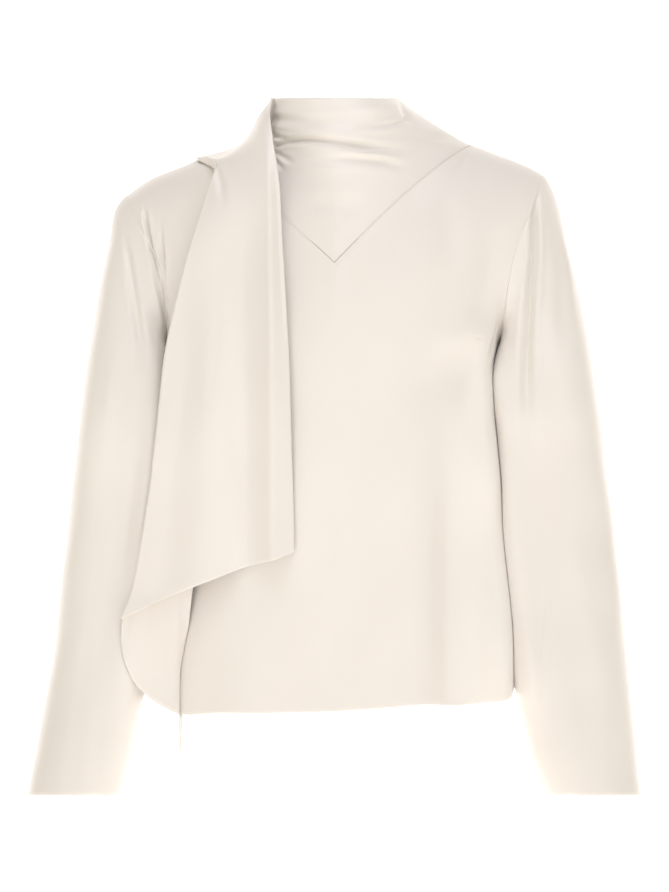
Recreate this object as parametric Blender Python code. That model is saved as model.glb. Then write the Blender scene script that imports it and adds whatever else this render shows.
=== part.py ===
"""A cropped satin blouse with a scarf neck, in its worn form with nobody in it.

Metres, +Z up, the front faces -Y. The origin lies between the two shoulder seams, where a wearer
holds the blouse up. Left and right are the wearer's: the left sleeve is on the +X side. Each
panel is one closed wall of cloth, and the panels keep SEAM_GAP between them where they are sewn.
"""

import math

import bpy
import numpy as np

# Cloth
WALL = 0.0012  # thickness of each panel's wall
SEAM_GAP = 0.0003  # between two panels that are sewn together

# Torso sections. Above ARMPIT_Z the half width is that of the shell that the armholes are cut from.
HEM_Z = -0.536
ARMPIT_Z = -0.215
SECTION_POWER = 2.3  # of the rounded torso section
FRONT_DOME_POWER = 1.8  # how fully the front rounds up to the shoulder seam
BACK_DOME_POWER = 2.15
TORSO = (
    # z, half_width, front_y, side_y, back_y
    (HEM_Z, 0.1915, -0.131, 0.022, 0.118),
    (-0.500, 0.1895, -0.130, 0.023, 0.116),
    (-0.440, 0.1850, -0.129, 0.024, 0.114),
    (-0.380, 0.1790, -0.128, 0.025, 0.113),
    (-0.320, 0.1725, -0.128, 0.025, 0.112),
    (-0.260, 0.1655, -0.127, 0.022, 0.111),
    (ARMPIT_Z, 0.1600, -0.125, 0.016, 0.110),
    (-0.187, 0.1690, -0.125, 0.012, 0.109),
    (-0.144, 0.1870, -0.124, 0.008, 0.108),
    (-0.100, 0.2080, -0.123, 0.004, 0.107),
    (-0.066, 0.2250, -0.122, 0.002, 0.106),
    (-0.030, 0.2380, -0.121, 0.000, 0.105),
    (0.060, 0.2500, -0.120, 0.000, 0.105),
)

# Shoulder seam, a straight slope from the neck point out to the shoulder point
NECK_X = 0.133
NECK_Z = -0.0075
SHOULDER_X = 0.205
SHOULDER_SLOPE = 0.41

# The seam of the armhole, seen from the front
ARMHOLE = (
    # z, x
    (ARMPIT_Z, 0.1600),
    (-0.187, 0.1625),
    (-0.144, 0.1675),
    (-0.100, 0.1780),
    (-0.066, 0.1940),
    (NECK_Z - SHOULDER_SLOPE * (SHOULDER_X - NECK_X), SHOULDER_X),
)

# Neckline: a deep V in front, a shallow curve behind
V_POINT_Z = -0.108
V_POWER = 1.28  # over 1, the V's sides hollow towards the shoulder
BACK_NECK_Z = -0.020
BACK_NECK_POWER = 2.2
LEAN = 0.055  # the wearer's right side hangs this much lower for each metre across
SWAY = 0.0095  # how far the torso swings to the wearer's right, for each square metre of drop
PULLS = (
    # x, z and reach in x and z of a place on the wearer's right, and how far it is drawn in and up
    (-0.172, -0.105, 0.040, 0.055, 0.007, 0.000),
    (-0.180, -0.030, 0.024, 0.040, 0.000, 0.004),
)

# Soft flutes that open out of the torso below FLUTE_TOP_Z, at full reach and drop at the hem
FLUTE_TOP_Z = -0.250
FLUTES = {
    "front": (
        # x, reach, drop, width
        (-0.152, 0.008, 0.006, 0.034),
        (0.020, 0.003, 0.000, 0.050),
        (0.127, -0.006, 0.012, 0.028),
        (0.168, 0.003, 0.008, 0.024),
    ),
    "back": (
        (-0.100, 0.008, 0.004, 0.034),
        (-0.030, -0.004, 0.000, 0.036),
        (0.055, 0.006, 0.002, 0.032),
        (0.120, -0.004, 0.000, 0.028),
    ),
}

# Collar: the ring at the top of the drape
COLLAR_TOP_Z = 0.0447
COLLAR_CENTRE_Y = -0.012
COLLAR_HALF_DEPTH = 0.062
COLLAR_LEFT_HALF_WIDTH = 0.062
COLLAR_RIGHT_HALF_WIDTH = 0.0585
COLLAR_RIGHT_INSET = 0.003  # the drape's end lies inside the scarf on the wearer's right
DRAPE_LEAVES = (
    # side of the neck (0 right, 1 front, 2 left, 3 back), way that the drape leaves the neckline
    # there, as a share of its own height
    (1.04, 0.00, 0.20),
    (0.00, 0.20, 0.95),
    (-0.80, 0.00, 0.40),
    (0.00, -0.25, 0.95),
)
DRAPE_ARRIVES = (
    # the same, for the way that it comes to the top
    (0.03, 0.00, 1.32),
    (0.00, 0.10, 0.85),
    (-0.75, 0.00, 0.60),
    (0.00, 0.00, 0.85),
)
DRAPE_FOLDS = (
    # height (0 neckline, 1 top), depth, width, slant along the collar
    (0.88, 0.0022, 0.060, 0.02),
    (0.72, 0.0034, 0.070, -0.05),
    (0.56, 0.0030, 0.075, -0.12),
    (0.40, 0.0018, 0.090, -0.16),
)

# Sleeves: level rings below the cap, inner and outer sides measured from the middle of the blouse
SLEEVE_LEFT = (
    # z, inner_x, outer_x, centre_y, half_depth
    (-0.260, 0.1620, 0.2600, -0.028, 0.060),
    (-0.320, 0.1680, 0.2685, -0.031, 0.058),
    (-0.380, 0.1730, 0.2755, -0.037, 0.056),
    (-0.440, 0.1775, 0.2820, -0.047, 0.054),
    (-0.500, 0.1830, 0.2880, -0.059, 0.052),
    (-0.560, 0.1910, 0.2940, -0.072, 0.050),
    (-0.600, 0.1975, 0.2980, -0.080, 0.048),
    (-0.633, 0.2090, 0.3010, -0.087, 0.046),
)
SLEEVE_RIGHT = (
    (-0.260, 0.1640, 0.2490, -0.028, 0.058),
    (-0.320, 0.1700, 0.2570, -0.031, 0.057),
    (-0.380, 0.1750, 0.2635, -0.037, 0.055),
    (-0.440, 0.1800, 0.2700, -0.047, 0.053),
    (-0.500, 0.1870, 0.2770, -0.059, 0.051),
    (-0.560, 0.1945, 0.2865, -0.072, 0.049),
    (-0.600, 0.2015, 0.2945, -0.080, 0.048),
    (-0.633, 0.2100, 0.3015, -0.087, 0.046),
)
CAP_LEAVES = (
    # quarter of the armhole from the shoulder point, way that the cap leaves it (out, front, up)
    (0, (0.050, 0.000, -0.020)),
    (1, (0.050, 0.022, -0.090)),
    (2, (0.016, 0.000, -0.022)),
    (3, (0.045, -0.020, -0.090)),
    (4, (0.050, 0.000, -0.020)),
)
CAP_ARRIVES = 0.62  # of its own height, how strongly the cap is pulled down into the arm's own line

# Scarf: round the back of the collar, over the wearer's right shoulder and down the front
SCARF_STAND_OFF = 0.0028  # from the drape that it covers
SCARF_FOLD_RADIUS = 0.0022
SCARF_EDGE = (
    # x, y, z of its free right edge, in sections from the collar's top to the hem
    (-0.0598, -0.028, 0.0440),
    (-0.0594, -0.050, 0.029),
    (-0.0575, -0.069, 0.003),
    (-0.0525, -0.089, -0.032),
    (-0.0500, -0.103, -0.075),
    (-0.0465, -0.121, -0.135),
    (-0.0432, -0.131, -0.205),
    (-0.0412, -0.133, -0.280),
    (-0.0395, -0.134, -0.340),
    (-0.0390, -0.135, -0.381),
)
SCARF_FOLD = (
    # x, y, z of the fold down its left side, in the same sections
    (-0.1180, -0.038, -0.013),
    (-0.1112, -0.056, -0.0155),
    (-0.1185, -0.074, -0.044),
    (-0.1290, -0.086, -0.077),
    (-0.1455, -0.097, -0.132),
    (-0.1590, -0.104, -0.195),
    (-0.1675, -0.107, -0.270),
    (-0.1780, -0.107, -0.345),
    (-0.1920, -0.109, -0.420),
    (-0.2040, -0.111, -0.450),
)
SCARF_CREASE = (
    # x, y, z of the crease in the layer under it
    (-0.1245, -0.028, -0.0145),
    (-0.1105, -0.049, -0.025),
    (-0.1150, -0.067, -0.050),
    (-0.1180, -0.082, -0.083),
    (-0.1270, -0.096, -0.139),
    (-0.1340, -0.103, -0.204),
    (-0.1390, -0.106, -0.282),
    (-0.1470, -0.106, -0.362),
    (-0.1510, -0.106, -0.470),
    (-0.1520, -0.108, -0.549),
)
SCARF_FREE = (
    # x, y, z of the under layer's free edge
    (-0.1285, -0.021, -0.0165),
    (-0.1085, -0.048, -0.028),
    (-0.1080, -0.069, -0.054),
    (-0.1080, -0.087, -0.086),
    (-0.1150, -0.100, -0.143),
    (-0.1200, -0.107, -0.209),
    (-0.1240, -0.109, -0.289),
    (-0.1310, -0.107, -0.372),
    (-0.1450, -0.101, -0.490),
    (-0.1510, -0.099, -0.592),
)
SCARF_CURVES = (
    # bow out of the front layer, its sag, belly of the under layer down and to the left
    (0.004, 0.013, 0.000),
    (0.004, 0.008, 0.000),
    (0.004, 0.003, 0.000),
    (0.004, 0.000, 0.000),
    (0.003, 0.000, 0.000),
    (0.002, 0.000, 0.000),
    (0.002, 0.000, 0.000),
    (0.002, 0.000, 0.002),
    (0.002, -0.003, 0.010),
    (0.002, -0.005, 0.019),
)

# Rows and columns of faces
TORSO_ROWS_BELOW = 8
CENTRE_ROWS_ABOVE = 4  # from the armpits up to the point of the V
NECK_ROWS = 8  # along each side of the neckline, on the panels, the drape and the scarf
TORSO_COLUMNS = 10  # in half a panel
SLEEVE_COLUMNS = 2 * (CENTRE_ROWS_ABOVE + NECK_ROWS)  # so that they start on the armhole's points
CAP_ROWS = 7
ARM_ROWS = 8
DRAPE_ROWS = 14
SCARF_ROWS_A_STATION = 2
SCARF_FRONT_COLUMNS = 8
SCARF_UNDER_COLUMNS = 3

SATIN = (0.87, 0.80, 0.71)


def read_curve(table, column, at):
    """A smooth curve through one column of a table, read at the given places of its first column."""
    rows = np.array(table, dtype=float)
    rows = rows[np.argsort(rows[:, 0])]
    keys, values = rows[:, 0], rows[:, column]
    at = np.clip(at, keys[0], keys[-1])
    slopes = np.gradient(values, keys)
    i = np.clip(np.searchsorted(keys, at) - 1, 0, len(keys) - 2)
    step = keys[i + 1] - keys[i]
    t = (at - keys[i]) / step
    held = values[i] * (1 + 2 * t) * (1 - t) ** 2 + values[i + 1] * t * t * (3 - 2 * t)
    turned = slopes[i] * t * (1 - t) ** 2 - slopes[i + 1] * t * t * (1 - t)
    return held + turned * step


def hermite(start, leave, end, arrive, t):
    """The point at t on the cubic from start to end with these tangents."""
    return (
        start * (1 + 2 * t) * (1 - t) ** 2
        + leave * t * (1 - t) ** 2
        + end * t * t * (3 - 2 * t)
        - arrive * t * t * (1 - t)
    )


def shoulder_z(x):
    return NECK_Z - SHOULDER_SLOPE * (np.abs(x) - NECK_X)


def torso_y(x, z, front):
    """The depth of the torso's shell at a place seen from the front."""
    half_width, side_y = read_curve(TORSO, 1, z), read_curve(TORSO, 3, z)
    middle_y = read_curve(TORSO, 2 if front else 4, z)
    power = FRONT_DOME_POWER if front else BACK_DOME_POWER
    across = np.clip(np.abs(x) / half_width, 0, 1) ** SECTION_POWER
    rise = np.clip((z - ARMPIT_Z) / (shoulder_z(x) - ARMPIT_Z), 0, 1) ** power
    share = (1 - across) ** (1 / SECTION_POWER) * (1 - rise) ** (1 / power)
    return side_y + (middle_y - side_y) * share


def leaned(points):
    """The points with the right side pulled and lower, and the hem swung to the right."""
    points = np.array(points, dtype=float)
    x, z = points[..., 0].copy(), points[..., 2].copy()
    for at_x, at_z, reach_x, reach_z, drawn_in, drawn_up in PULLS:
        share = np.exp(-(((x - at_x) / reach_x) ** 2) - ((z - at_z) / reach_z) ** 2)
        points[..., 0] += drawn_in * share
        points[..., 2] += drawn_up * share
    points[..., 0] -= SWAY * points[..., 2] ** 2
    points[..., 2] += LEAN * points[..., 0]
    return points


def fluted(points, front):
    """The panel's points moved out by its flutes, which fade before the side seams."""
    x, z = points[:, 0], points[:, 2]
    opened = np.clip((FLUTE_TOP_Z - z) / (FLUTE_TOP_Z - HEM_Z), 0, 1) ** 1.5
    kept = 1 - np.clip(np.abs(x) / read_curve(TORSO, 1, z), 0, 1) ** 8
    moved = points.copy()
    for at, reach, drop, width in FLUTES["front" if front else "back"]:
        share = opened * kept * np.exp(-(((x - at) / width) ** 2))
        moved[:, 1] += (-1 if front else 1) * reach * share
        moved[:, 2] -= drop * share
    return moved


def v_line_z(x):
    return NECK_Z - (NECK_Z - V_POINT_Z) * (1 - np.abs(x) / NECK_X) ** V_POWER


def back_neck_z(x):
    return BACK_NECK_Z + (NECK_Z - BACK_NECK_Z) * (np.abs(x) / NECK_X) ** BACK_NECK_POWER


def armhole_z(rows):
    """Heights up the armhole, closer together at both ends."""
    shoulder = shoulder_z(SHOULDER_X)
    return ARMPIT_Z + (shoulder - ARMPIT_Z) * (1 - np.cos(np.linspace(0, math.pi, rows + 1))) / 2


def half_panel(front):
    """The left half of the front or back as rows of points, from the middle out to side and armhole."""
    turn = np.linspace(0, math.pi / 2, TORSO_COLUMNS + 1)
    share = np.sin(turn) ** (2 / SECTION_POWER)
    rows = []
    for z in np.linspace(HEM_Z, ARMPIT_Z, TORSO_ROWS_BELOW + 1)[:-1]:
        x = share * read_curve(TORSO, 1, z)
        rows.append(np.column_stack([x, torso_y(x, z, front), np.full_like(x, z)]))
    inner = neckline_from_below(front)
    outer_z = armhole_z(len(inner) - 1)
    outer_x = read_curve(ARMHOLE, 1, outer_z)
    for (from_x, from_z), to_x, to_z in zip(inner, outer_x, outer_z):
        x = from_x + (to_x - from_x) * share
        z = from_z + (to_z - from_z) * share
        rows.append(np.column_stack([x, torso_y(x, z, front), z]))
    return np.array(rows)


def neckline_from_below(front):
    """The panel's inner edge from the armpits' height up: the middle, then the neckline."""
    point_z = V_POINT_Z if front else BACK_NECK_Z
    middle = [(0.0, z) for z in np.linspace(ARMPIT_Z, point_z, CENTRE_ROWS_ABOVE + 1)[:-1]]
    line = v_line_z if front else back_neck_z
    return middle + [(x, float(line(x))) for x in np.linspace(0, NECK_X, NECK_ROWS + 1)]


def normals_of(grid, ring=False):
    """Unit normals of a grid of points. A ring's last column is followed by its first."""
    wide = np.concatenate([grid[:, -1:], grid, grid[:, :1]], axis=1) if ring else grid
    along, across = np.gradient(wide, axis=0), np.gradient(wide, axis=1)
    normals = np.cross(across, along)
    normals = normals[:, 1:-1] if ring else normals
    return normals / np.linalg.norm(normals, axis=2, keepdims=True)


def grid_faces(rows, columns, first=0, ring=False):
    """Quads over a grid of points numbered row by row."""
    faces = []
    for r in range(rows - 1):
        for c in range(columns if ring else columns - 1):
            near, far = first + r * columns, first + (r + 1) * columns
            d = (c + 1) % columns
            faces.append((near + c, near + d, far + d, far + c))
    return faces


def material(name, colour):
    made = bpy.data.materials.new(name)
    made.use_nodes = True
    shader = made.node_tree.nodes["Principled BSDF"]
    shader.inputs["Base Color"].default_value = (*colour, 1)
    shader.inputs["Roughness"].default_value = 0.45
    shader.inputs["Sheen Weight"].default_value = 0.2
    return made


def cloth_object(name, outer, inner, faces):
    """One closed wall of cloth: outer and inner points, and the rims that join their open edges."""
    count = len(outer)
    back = [tuple(count + v for v in reversed(face)) for face in faces]
    edges = {(face[i], face[(i + 1) % len(face)]) for face in faces for i in range(len(face))}
    open_edges = sorted((a, b) for a, b in edges if (b, a) not in edges)
    rims = [(b, a, a + count, b + count) for a, b in open_edges]
    mesh = bpy.data.meshes.new(name)
    mesh.from_pydata(np.concatenate([outer, inner]).tolist(), [], faces + back + rims)
    mesh.validate()
    mesh.shade_smooth()
    mesh.set_sharp_from_angle(angle=math.radians(50))
    mesh.materials.append(material(name + "_satin", SATIN))
    panel = bpy.data.objects.new(name, mesh)
    bpy.context.scene.collection.objects.link(panel)
    return panel


def sewn_halves(half, normals):
    """Both halves of a panel with the points of the middle line shared, and the faces over them."""
    rows, columns = half.shape[:2]
    mirror = np.array([-1, 1, 1])
    points = np.concatenate([half.reshape(-1, 3), half.reshape(-1, 3) * mirror])
    turned = np.concatenate([normals.reshape(-1, 3), normals.reshape(-1, 3) * mirror])
    right = grid_faces(rows, columns)
    left = [tuple(reversed(face)) for face in grid_faces(rows, columns, rows * columns)]
    _, kept, index = np.unique(
        np.round(points, 7), axis=0, return_index=True, return_inverse=True
    )
    index = index.reshape(-1)
    faces = [tuple(int(index[v]) for v in face) for face in right + left]
    return points[kept], turned[kept], faces


def torso_panel(name, front):
    half = half_panel(front)
    normals = normals_of(half)
    if not front:
        normals = -normals
    normals[:, 0, 0] = np.where(half[:, 0, 0] == 0, 0, normals[:, 0, 0])
    # Along the side seam and the shoulder seam the wall goes straight in, level with its neighbour's.
    normals[: TORSO_ROWS_BELOW + 1, -1, 1] = 0
    normals[-1, :, 1] = 0
    normals /= np.linalg.norm(normals, axis=2, keepdims=True)
    points, normals, faces = sewn_halves(half, normals)
    if not front:
        faces = [tuple(reversed(face)) for face in faces]
    points = fluted(points, front)
    points[:, 1] += -SEAM_GAP / 2 if front else SEAM_GAP / 2
    outer, inner = leaned(points), leaned(points - WALL * normals)
    return cloth_object(name, outer, inner, faces)


def armhole_loop(side):
    """Points round the armhole on the torso's shell, from the shoulder point by the front."""
    turn = np.linspace(0, 2 * math.pi, SLEEVE_COLUMNS, endpoint=False)
    shoulder = shoulder_z(SHOULDER_X)
    z = shoulder + (ARMPIT_Z - shoulder) * (1 - np.cos(turn)) / 2
    x = read_curve(ARMHOLE, 1, z)
    y = np.where(turn <= math.pi, torso_y(x, z, True), torso_y(x, z, False))
    loop = leaned(np.column_stack([side * x, y, z]))
    loop[:, 0] += side * SEAM_GAP
    return turn, loop


def sleeve_rings(table, side, heights, turn):
    """The sleeve's rings below the cap, each square to the arm's own line."""
    inner, outer = read_curve(table, 1, heights), read_curve(table, 2, heights)
    centre_y, half_depth = read_curve(table, 3, heights), read_curve(table, 4, heights)
    tilt = np.gradient(centre_y, heights)
    rings = []
    for i, z in enumerate(heights):
        x = (inner[i] + outer[i]) / 2 + (outer[i] - inner[i]) / 2 * np.cos(turn)
        forward = half_depth[i] * np.sin(turn)
        rings.append(
            np.column_stack([side * x, centre_y[i] - forward, z + tilt[i] * forward])
        )
    return np.array(rings)


def sleeve(name, table, side):
    turn, loop = armhole_loop(side)
    top, end = table[0][0], table[-1][0]
    arm = sleeve_rings(table, side, np.linspace(top, end, ARM_ROWS + 1), turn)
    quarter = turn / (math.pi / 2)
    leaves = [(q, *way) for q, way in CAP_LEAVES]
    out, front, up = (read_curve(leaves, column, quarter) for column in (1, 2, 3))
    leave = np.column_stack([side * out, -front, up])
    along = (arm[1] - arm[0]) / (arm[1] - arm[0])[:, 2:]
    arrive = CAP_ARRIVES * (arm[0] - loop)[:, 2:] * along
    steps = np.linspace(0, 1, CAP_ROWS + 1)[:-1]
    cap = np.array([hermite(loop, leave, arm[0], arrive, t) for t in steps])
    grid = np.concatenate([cap, arm])
    normals = side * normals_of(grid, ring=True)
    # At the armhole the sleeve's wall stays on its own side of the seam.
    normals[0, :, 0] = side * np.minimum(side * normals[0, :, 0], 0)
    normals /= np.linalg.norm(normals, axis=2, keepdims=True)
    faces = grid_faces(*grid.shape[:2], ring=True)
    if side < 0:
        faces = [tuple(reversed(face)) for face in faces]
    outer = grid.reshape(-1, 3)
    return cloth_object(name, outer, outer - WALL * normals.reshape(-1, 3), faces)


def neck_seam(quarter):
    """The neckline on the torso's shell.

    Quarter -1 is the right neck point, 0 the V's point, 1 the left neck point, 2 the middle of the
    back and 3 the right neck point again.
    """
    in_front = quarter <= 1
    x = NECK_X * (quarter if in_front else 2 - quarter)
    z = v_line_z(x) if in_front else back_neck_z(x)
    return leaned([x, float(torso_y(x, z, in_front)), float(z)])


def collar_top(quarter):
    """The ring at the top of the collar."""
    turn = quarter * math.pi / 2
    half_width = COLLAR_LEFT_HALF_WIDTH if math.sin(turn) > 0 else COLLAR_RIGHT_HALF_WIDTH
    x = half_width * math.sin(turn)
    y = COLLAR_CENTRE_Y - COLLAR_HALF_DEPTH * math.cos(turn)
    return np.array([x, y, COLLAR_TOP_Z])


def round_the_neck(table, quarter):
    """A way given for the right, the front, the left and the back of the neck, read at a quarter."""
    right, front, left, back = np.array(table)
    ahead, leftward = math.cos(quarter * math.pi / 2), math.sin(quarter * math.pi / 2)
    between = front if ahead > 0 else back
    aside = left if leftward > 0 else right
    level = (front + back) / 2 * [0, 0, 1]
    return level + abs(ahead) * (between - level) + abs(leftward) * (aside - level)


def drape_point(quarter, height):
    """A place on the drape between the neckline, at height 0, and the collar's top, at height 1."""
    foot, top = neck_seam(quarter), collar_top(quarter)
    reach = np.linalg.norm(top - foot)
    # On the wearer's left the cloth slopes right up to the ring. On the right it lies on the
    # shoulder and then stands up.
    leave, arrive = (round_the_neck(table, quarter) for table in (DRAPE_LEAVES, DRAPE_ARRIVES))
    return hermite(foot, reach * leave, top, reach * arrive, height)


def drape_fold(quarter, height):
    """How far the drape's folds stand out at a place. They fade over both shoulders."""
    fade = math.exp(-((quarter / (0.85 if quarter > 0 else 0.95)) ** 4))
    total = 0.0
    for at, depth, width, slant in DRAPE_FOLDS:
        away = (height - at - slant * quarter) / width
        total += depth * math.exp(-away * away)
    return fade * total


def off_the_seam(edge, next_to_it):
    """The step that takes an edge's points back from a seam, towards the points next to them."""
    inward = next_to_it - edge
    return 2 * SEAM_GAP * inward / np.linalg.norm(inward, axis=1, keepdims=True)


def neck_drape():
    quarters = np.linspace(-1, 2, 3 * NECK_ROWS + 1)
    heights = np.linspace(0, 1, DRAPE_ROWS + 1)
    grid = np.array([[drape_point(q, h) for q in quarters] for h in heights])
    inset = np.clip(-np.sin(quarters * math.pi / 2), 0, 1)
    grid[:, :, 0] += COLLAR_RIGHT_INSET * inset[None, :] * np.sin(heights * math.pi)[:, None]
    normals = normals_of(grid)
    folds = np.array([[drape_fold(q, h) for q in quarters] for h in heights])
    grid = grid + normals * folds[:, :, None]
    grid[0] += off_the_seam(grid[0], grid[1])
    grid[:, -1, 0] += SEAM_GAP / 2
    normals = normals_of(grid)
    normals[:, -1, 0] = 0
    normals /= np.linalg.norm(normals, axis=2, keepdims=True)
    outer = grid.reshape(-1, 3)
    inner = outer - WALL * normals.reshape(-1, 3)
    return cloth_object("neck_drape", outer, inner, grid_faces(*grid.shape[:2]))


def scarf_round_neck(quarter):
    """The scarf's section on the collar, from its top edge down to the edge on the shoulder."""
    front, under = SCARF_FRONT_COLUMNS + 2, SCARF_UNDER_COLUMNS + 3
    heights = np.concatenate([np.linspace(1, 0.08, front)[:-1], np.linspace(0.08, 0, under)])
    section = np.array([drape_point(quarter, height) for height in heights])
    along = np.gradient(section, axis=0)
    on_round = drape_point(quarter + 0.01, 0.5) - drape_point(quarter - 0.01, 0.5)
    out = np.cross(along, on_round)
    out /= np.linalg.norm(out, axis=1, keepdims=True)
    stand_off = SCARF_STAND_OFF * np.clip((quarter - 2) / 0.5, 0, 1)
    return section + out * stand_off


def scarf_down(row):
    """The scarf's section down the front: edge, fold, crease of the under layer and free edge."""
    edge, fold, crease, free = (
        np.array(table[row]) for table in (SCARF_EDGE, SCARF_FOLD, SCARF_CREASE, SCARF_FREE)
    )
    bow, sag, belly = SCARF_CURVES[row]
    # The first section still lies flat on the shoulder, and the ones below it are turned under.
    turned = np.clip((crease[0] - fold[0]) / 0.01, -1, 1) * 0.5 + 0.5
    round_fold = turned * np.array([0, SCARF_FOLD_RADIUS, 0])
    share = np.linspace(0, 1, SCARF_FRONT_COLUMNS + 1)[:, None]
    arch = 4 * share * (1 - share)
    front = edge + (fold - round_fold - edge) * share - arch * np.array([0, bow, sag])
    tip = fold - np.array([SCARF_FOLD_RADIUS, 0, 0])
    share = np.linspace(0, 1, SCARF_UNDER_COLUMNS + 1)[:, None]
    arch = 4 * share * (1 - share)
    start = fold + round_fold
    under = start + (crease - start) * share - arch * np.array([belly, 0, belly / 2])
    return np.array([*front, tip, *under, free])


def scarf_tail():
    round_neck = [scarf_round_neck(q) for q in np.linspace(2, 3, NECK_ROWS + 1)]
    down = [scarf_down(row) for row in range(len(SCARF_EDGE))]
    sections = np.array(round_neck + down)
    first_down = NECK_ROWS / SCARF_ROWS_A_STATION
    place = np.concatenate(
        [np.linspace(0, first_down, NECK_ROWS + 1), first_down + 1 + np.arange(len(down))]
    )
    at = np.arange(0, place[-1] + 0.01, 1 / SCARF_ROWS_A_STATION)
    flat = np.column_stack([place, sections.reshape(len(sections), -1)])
    grid = np.column_stack([read_curve(flat, c, at) for c in range(1, flat.shape[1])])
    grid = grid.reshape(len(at), -1, 3)
    grid[0, :, 0] -= SEAM_GAP / 2
    on_back = slice(0, NECK_ROWS // 2 + 1)
    grid[on_back, -1] += off_the_seam(grid[on_back, -1], grid[on_back, -2])
    normals = -normals_of(grid)
    normals[0, :, 0] = 0
    normals /= np.linalg.norm(normals, axis=2, keepdims=True)
    middle, half = grid.reshape(-1, 3), WALL / 2 * normals.reshape(-1, 3)
    faces = [tuple(reversed(face)) for face in grid_faces(*grid.shape[:2])]
    return cloth_object("scarf_tail", middle + half, middle - half, faces)


def clear_scene():
    for thing in list(bpy.data.objects):
        bpy.data.objects.remove(thing, do_unlink=True)


def main():
    clear_scene()
    torso_panel("front_panel", front=True)
    torso_panel("back_panel", front=False)
    sleeve("sleeve_left", SLEEVE_LEFT, side=1)
    sleeve("sleeve_right", SLEEVE_RIGHT, side=-1)
    neck_drape()
    scarf_tail()


main()
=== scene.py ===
"""The looks of a cropped ivory satin blouse with a scarf neck, worn by nobody.

Metres, +Z up, the front faces -Y, the wearer's left is +X. Each piece of cloth is a thin shell on
the form of its CAD node, drawn at a finer step, pressed together where the sleeves meet the body,
with its folds placed one by one. Folds and nudges are in millimetres.
"""

import math

import bpy
import numpy as np
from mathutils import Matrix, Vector
from mathutils.bvhtree import BVHTree


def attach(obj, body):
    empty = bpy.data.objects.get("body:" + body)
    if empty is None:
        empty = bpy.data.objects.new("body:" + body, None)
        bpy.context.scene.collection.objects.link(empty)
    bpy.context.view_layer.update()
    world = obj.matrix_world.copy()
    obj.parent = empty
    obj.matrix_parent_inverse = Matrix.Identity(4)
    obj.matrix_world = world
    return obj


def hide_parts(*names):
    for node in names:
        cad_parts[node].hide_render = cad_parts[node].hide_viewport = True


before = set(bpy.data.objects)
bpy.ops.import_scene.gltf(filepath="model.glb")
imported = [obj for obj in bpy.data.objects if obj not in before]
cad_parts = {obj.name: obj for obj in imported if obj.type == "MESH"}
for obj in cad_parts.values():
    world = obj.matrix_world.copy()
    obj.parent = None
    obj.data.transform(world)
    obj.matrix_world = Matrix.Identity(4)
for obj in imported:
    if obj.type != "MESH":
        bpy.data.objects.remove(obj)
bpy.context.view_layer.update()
MM = 0.001
QUARTER = math.pi / 2


def metres(*rows):
    """A table that is written in millimetres."""
    return np.array(rows) / 1000


# The form, as in the CAD part
SEAM_GAP = 0.0003
SECTION_POWER = 2.3
FRONT_DOME_POWER = 1.8
BACK_DOME_POWER = 2.15
TORSO = metres(
    # z, half_width, front_y, side_y, back_y
    (-536, 191.5, -131, 22, 118),  # the hem
    (-500, 189.5, -130, 23, 116),
    (-440, 185, -129, 24, 114),
    (-380, 179, -128, 25, 113),
    (-320, 172.5, -128, 25, 112),
    (-260, 165.5, -127, 22, 111),
    (-215, 160, -125, 16, 110),  # the armpits
    (-187, 169, -125, 12, 109),
    (-144, 187, -124, 8, 108),
    (-100, 208, -123, 4, 107),
    (-66, 225, -122, 2, 106),
    (-30, 238, -121, 0, 105),
    (60, 250, -120, 0, 105),
)
HEM_Z, ARMPIT_Z = TORSO[0, 0], TORSO[6, 0]

# Shoulder seam, straight from the neck point to the shoulder point
NECK_X = 0.133
NECK_Z = -0.0075
SHOULDER_X = 0.205
SHOULDER_SLOPE = 0.41

# The seam of the armhole, seen from the front
ARMHOLE = (
    # z, x
    (ARMPIT_Z, 0.16),
    (-0.187, 0.1625),
    (-0.144, 0.1675),
    (-0.1, 0.178),
    (-0.066, 0.194),
    (NECK_Z - SHOULDER_SLOPE * (SHOULDER_X - NECK_X), SHOULDER_X),
)

# Neckline: a deep V in front, a shallow curve behind
V_POINT_Z = -0.108
V_POWER = 1.28  # over 1, the V's sides hollow towards the shoulder
BACK_NECK_Z = -0.02
BACK_NECK_POWER = 2.2
LEAN = 0.055  # how much lower the wearer's right side hangs, for each metre across
SWAY = 0.0095  # how far the torso swings to the wearer's right, for each square metre of drop
PULLS = (
    # x, z and reach in x and z of a place on the wearer's right, and how far it is drawn in and up
    (-0.172, -0.105, 0.04, 0.055, 0.007, 0),
    (-0.18, -0.03, 0.024, 0.04, 0, 0.004),
)

# Soft flutes that open out of the torso below FLUTE_TOP_Z, at full reach and drop at the hem
FLUTE_TOP_Z = -0.25
FLUTES = {
    "front": (
        # x, reach, drop, width
        (-0.152, 0.008, 0.006, 0.034),
        (0.02, 0.003, 0, 0.05),
        (0.127, -0.006, 0.012, 0.028),
        (0.168, 0.003, 0.008, 0.024),
    ),
    "back": (
        (-0.1, 0.008, 0.004, 0.034),
        (-0.03, -0.004, 0, 0.036),
        (0.055, 0.006, 0.002, 0.032),
        (0.12, -0.004, 0, 0.028),
    ),
}

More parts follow.
